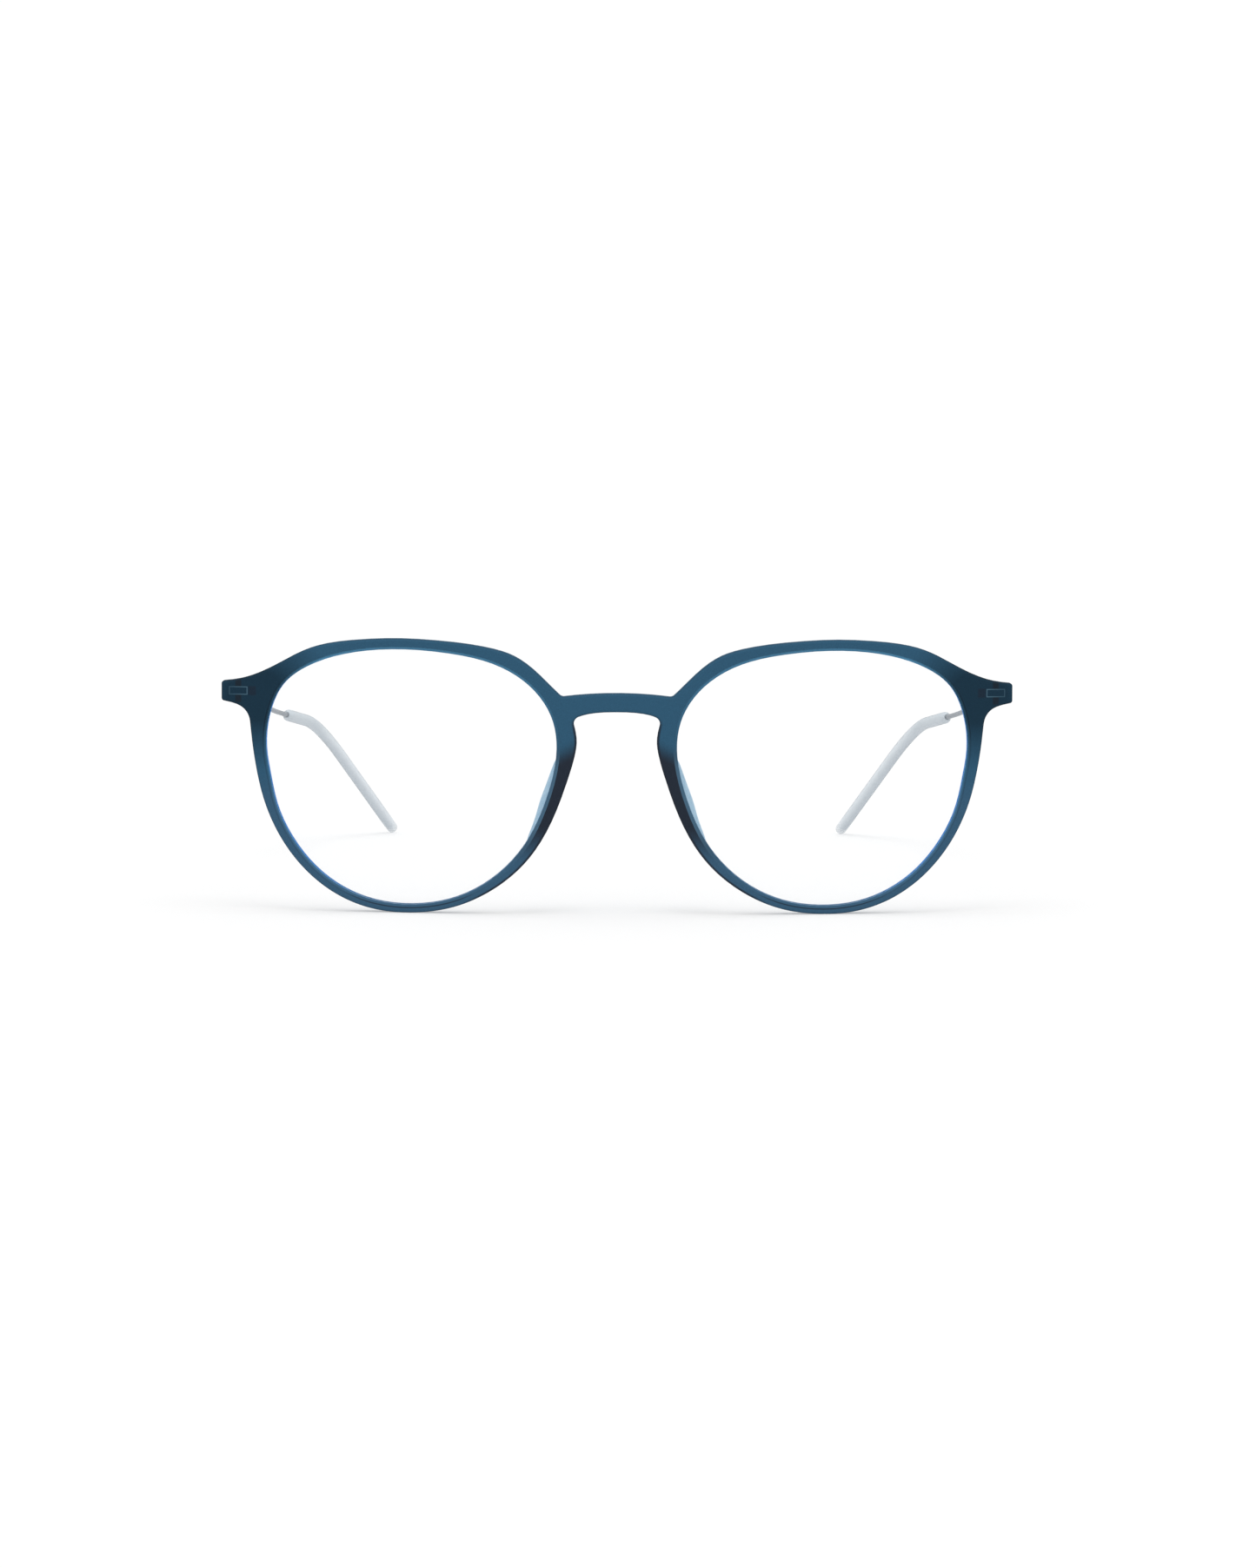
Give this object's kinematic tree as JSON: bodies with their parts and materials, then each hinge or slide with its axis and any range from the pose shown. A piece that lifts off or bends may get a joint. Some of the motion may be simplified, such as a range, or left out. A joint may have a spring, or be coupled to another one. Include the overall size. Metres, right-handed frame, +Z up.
{
  "type": "round eyeglasses",
  "caption": "Round spectacles: moulded keyhole-bridge front, clear lenses, clip-in nose pads and thin wire temples with soft tips that fold on pins.",
  "frame": {"origin": "on the surface that the glasses stand on, under the middle of their bounding box", "axes": "+X along the front, to the viewer's right when facing the front; +Y back towards the ears, so the front faces -Y; +Z up"},
  "size_m": [0.136, 0.1425, 0.047],
  "materials": {
    "front_plastic": "matte, dyed dark translucent blue",
    "lens_clear": "clear, polished",
    "pad_soft": "soft, translucent light blue",
    "titanium_wire": "satin grey",
    "titanium_hinge": "satin grey",
    "sleeve_soft": "frosted clear silicone"
  },
  "bodies": {
    "front": {"front_frame": "front_plastic", "lens_left": "lens_clear", "lens_right": "lens_clear", "nose_pad_left": "pad_soft", "nose_pad_right": "pad_soft", "hinge_pin_left": "titanium_hinge", "hinge_pin_right": "titanium_hinge"},
    "temple_left": {"hinge_eye_left": "titanium_hinge", "temple_wire_left": "titanium_wire", "temple_tip_left": "sleeve_soft"},
    "temple_right": {"hinge_eye_right": "titanium_hinge", "temple_wire_right": "titanium_wire", "temple_tip_right": "sleeve_soft"}
  },
  "joints": [
    {"name": "temple_left_fold", "type": "hinge", "parent": "front", "child": "temple_left", "pos_m": [-0.0653, -0.05951, 0.03735], "axis": [0, 0, -1], "range_deg": [0, 78]},
    {"name": "temple_right_fold", "type": "hinge", "parent": "front", "child": "temple_right", "pos_m": [0.0653, -0.05951, 0.03735], "axis": [0, 0, 1], "range_deg": [0, 84]}
  ]
}
